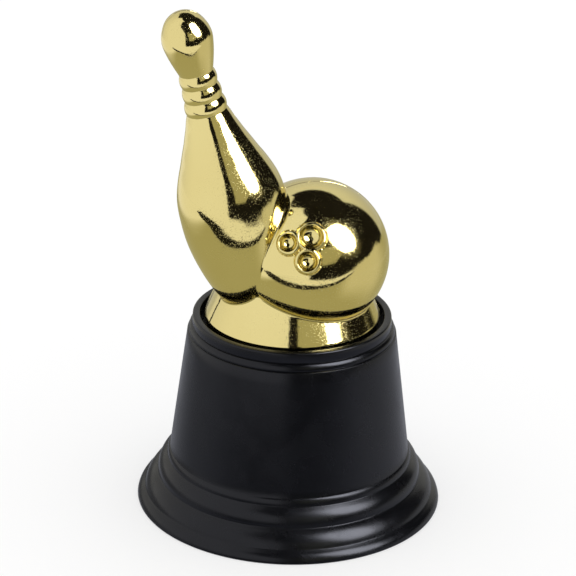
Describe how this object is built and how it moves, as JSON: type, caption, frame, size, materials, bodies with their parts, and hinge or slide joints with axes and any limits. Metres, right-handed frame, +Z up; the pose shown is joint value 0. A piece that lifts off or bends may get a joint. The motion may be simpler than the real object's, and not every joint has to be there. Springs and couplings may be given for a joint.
{
  "type": "bowling trophy",
  "caption": "Small bowling trophy: gold leaning pin and ball figure with a round plinth, bolted into the recessed well of a black bell-shaped base with a stepped foot.",
  "frame": {"origin": "centre of the underside, on the surface the trophy stands on", "axes": "+Z up; -Y is the front, where the ball's finger dimples face; +X is to the right seen from the front, the pin leans towards -X"},
  "size_m": [0.063, 0.063, 0.1077],
  "materials": {
    "gold_plastic": "vacuum metallised gold, near mirror",
    "black_plastic": "satin moulded black",
    "zinc_steel": "zinc plated",
    "ballast_iron": "as cast",
    "cover_plastic": "matt moulded black",
    "felt": "needled felt"
  },
  "bodies": {
    "root": {"figure_front_shell": "gold_plastic", "figure_rear_shell": "gold_plastic", "base_shell": "black_plastic", "figure_bolt": "zinc_steel", "ballast_weight": "ballast_iron", "flat_washer": "zinc_steel", "lock_washer": "zinc_steel", "hex_nut": "zinc_steel", "bottom_cover": "cover_plastic", "cover_screws": "zinc_steel", "felt_pad": "felt"}
  },
  "joints": []
}
